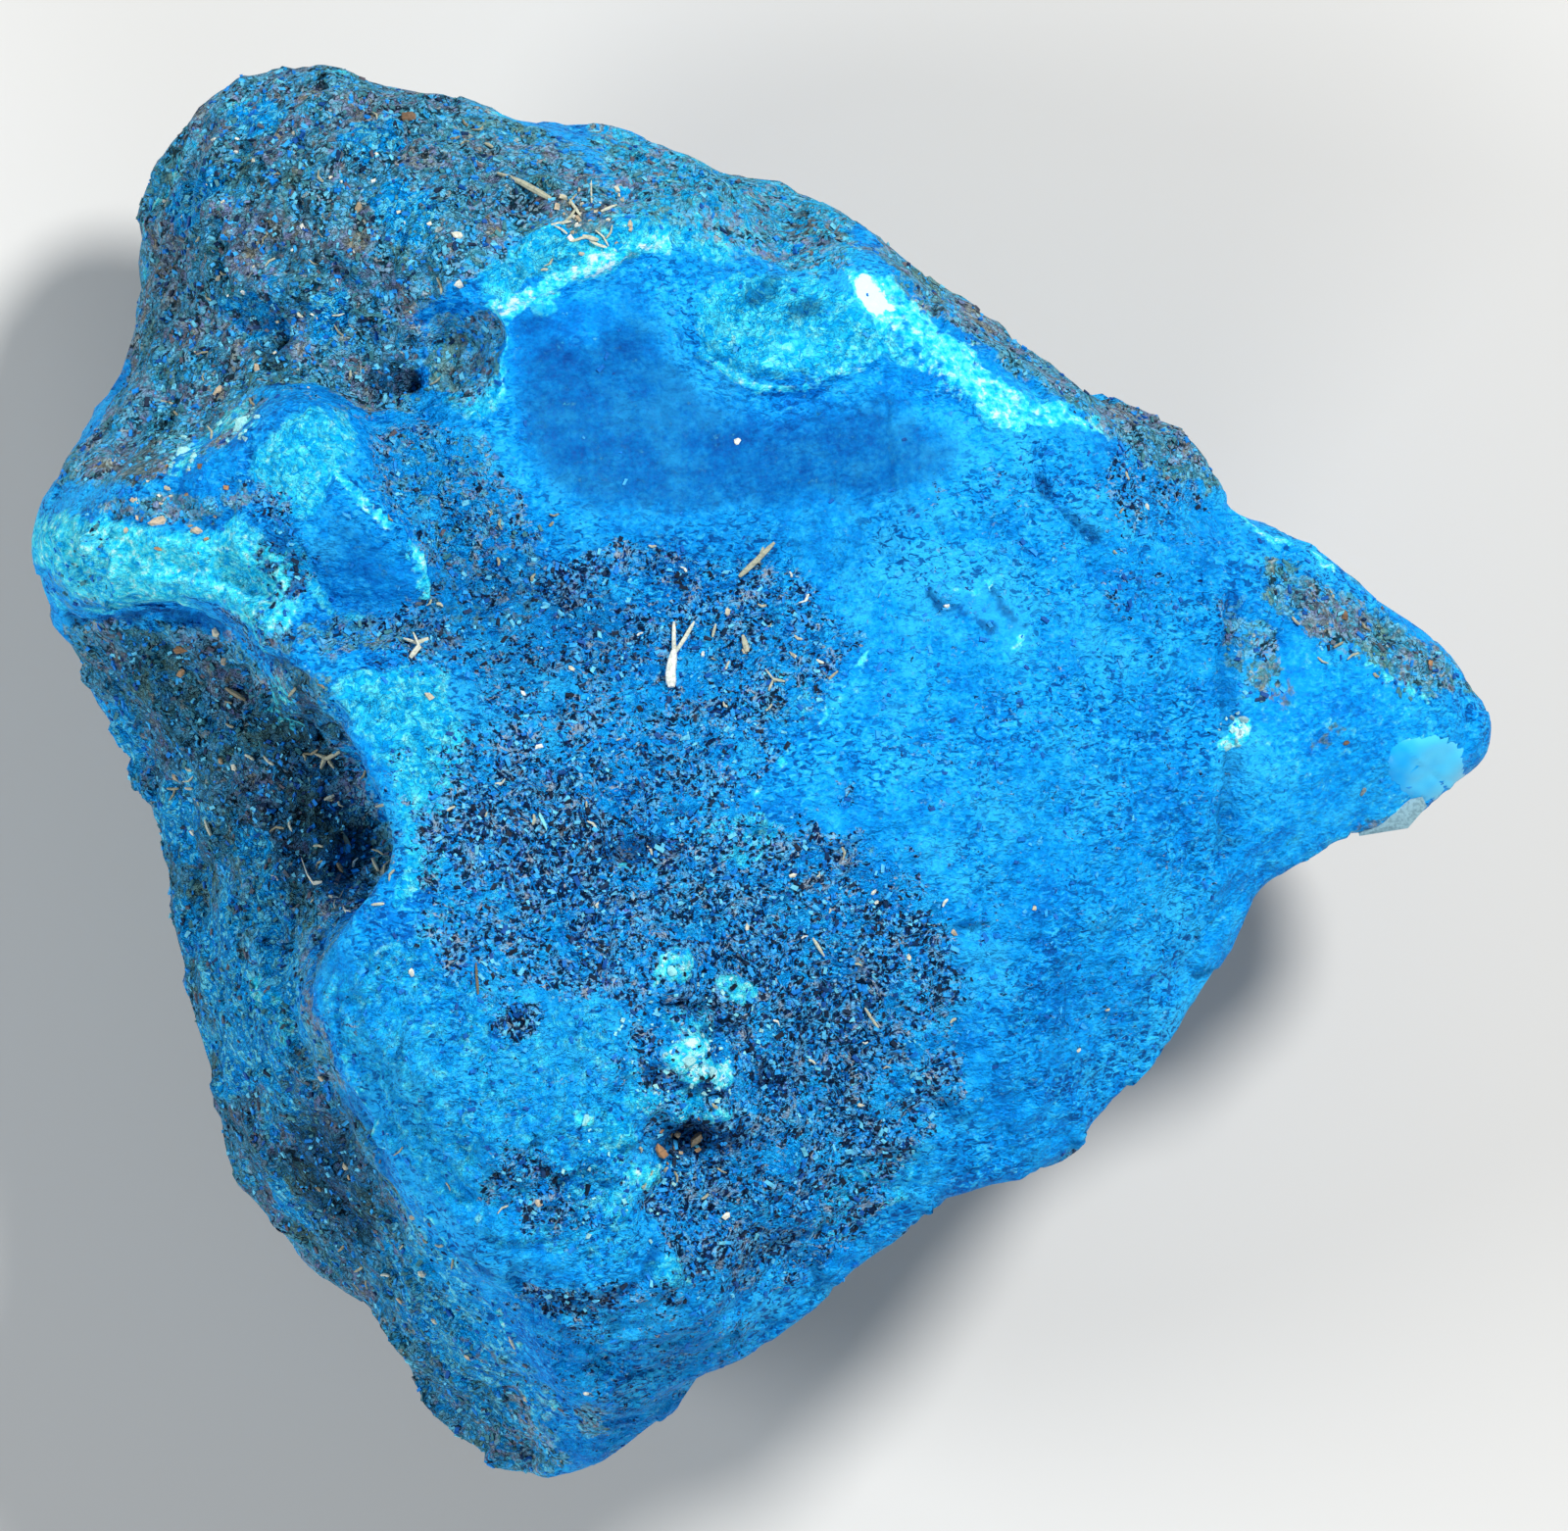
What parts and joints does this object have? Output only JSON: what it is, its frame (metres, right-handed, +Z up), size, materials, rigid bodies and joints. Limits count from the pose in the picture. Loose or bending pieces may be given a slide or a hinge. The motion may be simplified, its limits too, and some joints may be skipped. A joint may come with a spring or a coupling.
{
  "type": "rough turquoise",
  "caption": "Broken lump of rough turquoise with a scooped basin, an undercut left crest, a ledge and a thin tip, lying on its flat back.",
  "frame": {"origin": "on the resting face, under the middle of the stone's box", "axes": "+Z up out of the broken face, +X the long way to the thin tip, +Y to the crusted edge"},
  "size_m": [0.1304, 0.1274, 0.08],
  "materials": {
    "turquoise": "azure blue broken stone, dull to waxy, with grey-green and brown crust, dark specks and pale cyan broken edges"
  },
  "bodies": {
    "root": {"stone": "turquoise"}
  },
  "joints": []
}
